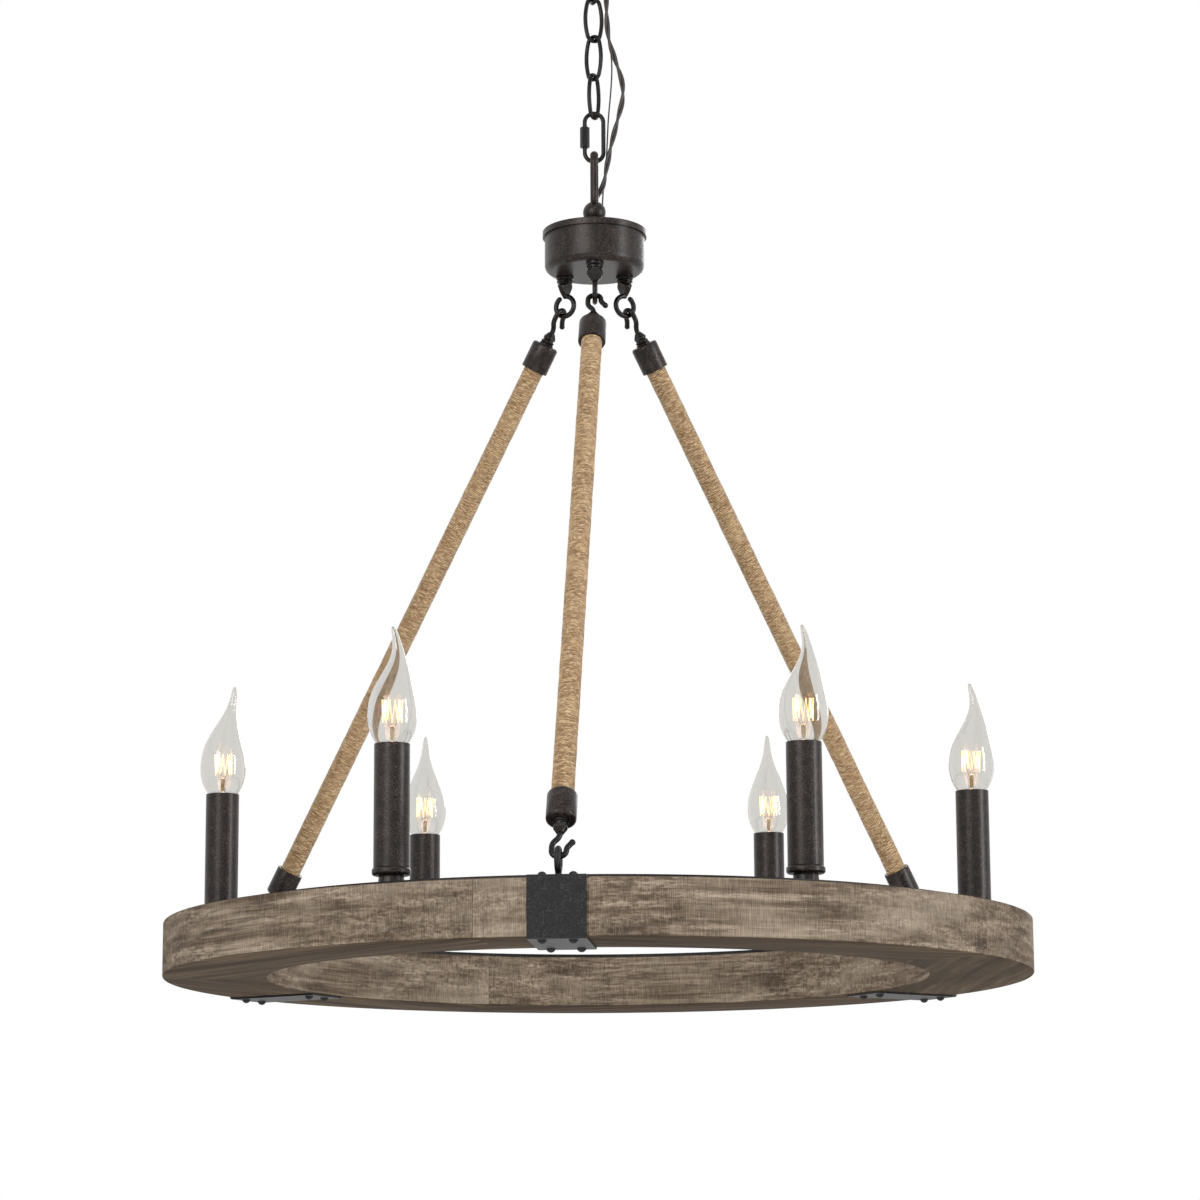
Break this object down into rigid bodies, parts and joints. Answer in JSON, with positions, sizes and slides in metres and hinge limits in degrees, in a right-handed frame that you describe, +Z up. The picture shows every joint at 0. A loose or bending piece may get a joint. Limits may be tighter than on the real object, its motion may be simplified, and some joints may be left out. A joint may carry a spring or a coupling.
{
  "type": "wagon wheel chandelier",
  "caption": "Round wooden hoop light hung on slanting ropes from a hub and chain, with candle-style bulb holders around the hoop.",
  "frame": {"origin": "middle of the crossbar's top face, on the ceiling plane", "axes": "+Z up into the ceiling, the light hangs towards -Z; the viewer's side of the picture is -Y, +X to the right"},
  "size_m": [0.65, 0.652, 0.8662],
  "materials": {
    "wood": "weathered, band-sawn, dark stain",
    "jute": "twine wound tightly over a core",
    "bronze_metal": "dark bronze powder coat with a fine reddish speckle",
    "strap_steel": "slate black, fine texture",
    "black_steel": "satin black",
    "plated_steel": "zinc plated",
    "ground_green": "green",
    "bulb_glass": "clear, blown",
    "bulb_brass": "bright",
    "cord_sheath": "dark sheath",
    "earth_copper": "thin dark wire",
    "holder_plastic": "off-white"
  },
  "bodies": {
    "ceiling_set": {"ceiling_crossbar": "plated_steel", "nipple": "plated_steel", "ground_screw": "ground_green", "ceiling_loop": "bronze_metal", "supply_cord": "cord_sheath", "earth_wire": "earth_copper"},
    "canopy_set": {"canopy": "bronze_metal", "canopy_ring_nut": "bronze_metal"},
    "link_1": {"chain_link_1": "black_steel"},
    "link_2": {"chain_link_2": "black_steel"},
    "link_3": {"chain_link_3": "black_steel"},
    "link_4": {"chain_link_4": "black_steel"},
    "quick_link": {"quick_link": "black_steel"},
    "quick_nut": {"quick_link_nut": "black_steel"},
    "hub": {"hub_loop": "bronze_metal", "hub_lid": "bronze_metal", "hub_drum": "bronze_metal", "hub_nut": "plated_steel", "hub_hook_front": "black_steel", "hub_hook_left": "black_steel", "hub_hook_right": "black_steel"},
    "rope_front_set": {"rope_front": "jute", "rope_caps_front": "bronze_metal", "rope_hooks_front": "black_steel"},
    "rope_left_set": {"rope_left": "jute", "rope_caps_left": "bronze_metal", "rope_hooks_left": "black_steel"},
    "rope_right_set": {"rope_right": "jute", "rope_caps_right": "bronze_metal", "rope_hooks_right": "black_steel"},
    "hoop": {"hoop_segment_1": "wood", "hoop_segment_2": "wood", "hoop_segment_3": "wood", "hoop_segment_4": "wood", "hoop_segment_5": "wood", "wire_channel": "strap_steel", "strap_front": "strap_steel", "strap_left": "strap_steel", "strap_right": "strap_steel", "strap_eye_front": "strap_steel", "strap_eye_left": "strap_steel", "strap_eye_right": "strap_steel", "strap_screws": "strap_steel", "candle_cups": "bronze_metal", "candle_sleeves": "bronze_metal", "candle_holders": "holder_plastic"},
    "bulb_1": {"bulb_glass_1": "bulb_glass", "bulb_base_1": "bulb_brass"},
    "bulb_2": {"bulb_glass_2": "bulb_glass", "bulb_base_2": "bulb_brass"},
    "bulb_3": {"bulb_glass_3": "bulb_glass", "bulb_base_3": "bulb_brass"},
    "bulb_4": {"bulb_glass_4": "bulb_glass", "bulb_base_4": "bulb_brass"},
    "bulb_5": {"bulb_glass_5": "bulb_glass", "bulb_base_5": "bulb_brass"},
    "bulb_6": {"bulb_glass_6": "bulb_glass", "bulb_base_6": "bulb_brass"}
  },
  "joints": [
    {"name": "link_1_swing", "type": "hinge", "parent": "ceiling_set", "child": "link_1", "pos_m": [0, 0, -0.0589], "axis": [0.9397, 0.342, 0], "range_deg": [-15, 15], "deforming": ["supply_cord", "earth_wire"]},
    {"name": "link_2_swing", "type": "hinge", "parent": "link_1", "child": "link_2", "pos_m": [0, 0, -0.08985], "axis": [0.342, -0.9397, 0], "range_deg": [-15, 15]},
    {"name": "link_3_swing", "type": "hinge", "parent": "link_2", "child": "link_3", "pos_m": [0, 0, -0.12165], "axis": [0.9063, 0.4226, 0], "range_deg": [-15, 15]},
    {"name": "link_4_swing", "type": "hinge", "parent": "link_3", "child": "link_4", "pos_m": [0, 0, -0.15345], "axis": [0.7986, -0.6018, 0], "range_deg": [-15, 15]},
    {"name": "quick_link_swing", "type": "hinge", "parent": "link_4", "child": "quick_link", "pos_m": [0, 0, -0.18525], "axis": [0.5299, 0.848, 0], "range_deg": [-15, 15]},
    {"name": "hub_swing", "type": "hinge", "parent": "quick_link", "child": "hub", "pos_m": [0, 0, -0.2212], "axis": [1, 0, 0], "range_deg": [-15, 15]},
    {"name": "canopy_drop", "type": "slide", "parent": "ceiling_set", "child": "canopy_set", "axis": [0, 0, -1], "range_m": [0, 0.02]},
    {"name": "quick_nut_run", "type": "slide", "parent": "quick_link", "child": "quick_nut", "axis": [0, 0, -1], "range_m": [0, 0.004]},
    {"name": "hoop_twist", "type": "hinge", "parent": "hub", "child": "hoop", "pos_m": [0, 0, -0.82204], "axis": [0, 0, 1], "range_deg": [-6, 6], "stiffness_Nm_per_rad": 0.85},
    {"name": "rope_front_swing", "type": "hinge", "parent": "hub", "child": "rope_front_set", "pos_m": [-0.00039, -0.0311, -0.34186], "axis": [0, 0, 1], "range_deg": [-6.7, 6.7]},
    {"name": "rope_left_swing", "type": "hinge", "parent": "hub", "child": "rope_left_set", "pos_m": [-0.02693, 0.0156, -0.34186], "axis": [0, 0, 1], "range_deg": [-6.7, 6.7]},
    {"name": "rope_right_swing", "type": "hinge", "parent": "hub", "child": "rope_right_set", "pos_m": [0.02683, 0.01575, -0.34186], "axis": [0, 0, 1], "range_deg": [-6.7, 6.7]},
    {"name": "bulb_1_lift", "type": "slide", "parent": "hoop", "child": "bulb_1", "axis": [0, 0, 1], "range_m": [0, 0.03]},
    {"name": "bulb_2_lift", "type": "slide", "parent": "hoop", "child": "bulb_2", "axis": [0, 0, 1], "range_m": [0, 0.03]},
    {"name": "bulb_3_lift", "type": "slide", "parent": "hoop", "child": "bulb_3", "axis": [0, 0, 1], "range_m": [0, 0.03]},
    {"name": "bulb_4_lift", "type": "slide", "parent": "hoop", "child": "bulb_4", "axis": [0, 0, 1], "range_m": [0, 0.03]},
    {"name": "bulb_5_lift", "type": "slide", "parent": "hoop", "child": "bulb_5", "axis": [0, 0, 1], "range_m": [0, 0.03]},
    {"name": "bulb_6_lift", "type": "slide", "parent": "hoop", "child": "bulb_6", "axis": [0, 0, 1], "range_m": [0, 0.03]}
  ],
  "couplings": [
    {"joint": "rope_front_swing", "follows": "hoop_twist", "ratio": 1.1118},
    {"joint": "rope_left_swing", "follows": "hoop_twist", "ratio": 1.1123},
    {"joint": "rope_right_swing", "follows": "hoop_twist", "ratio": 1.1121}
  ]
}
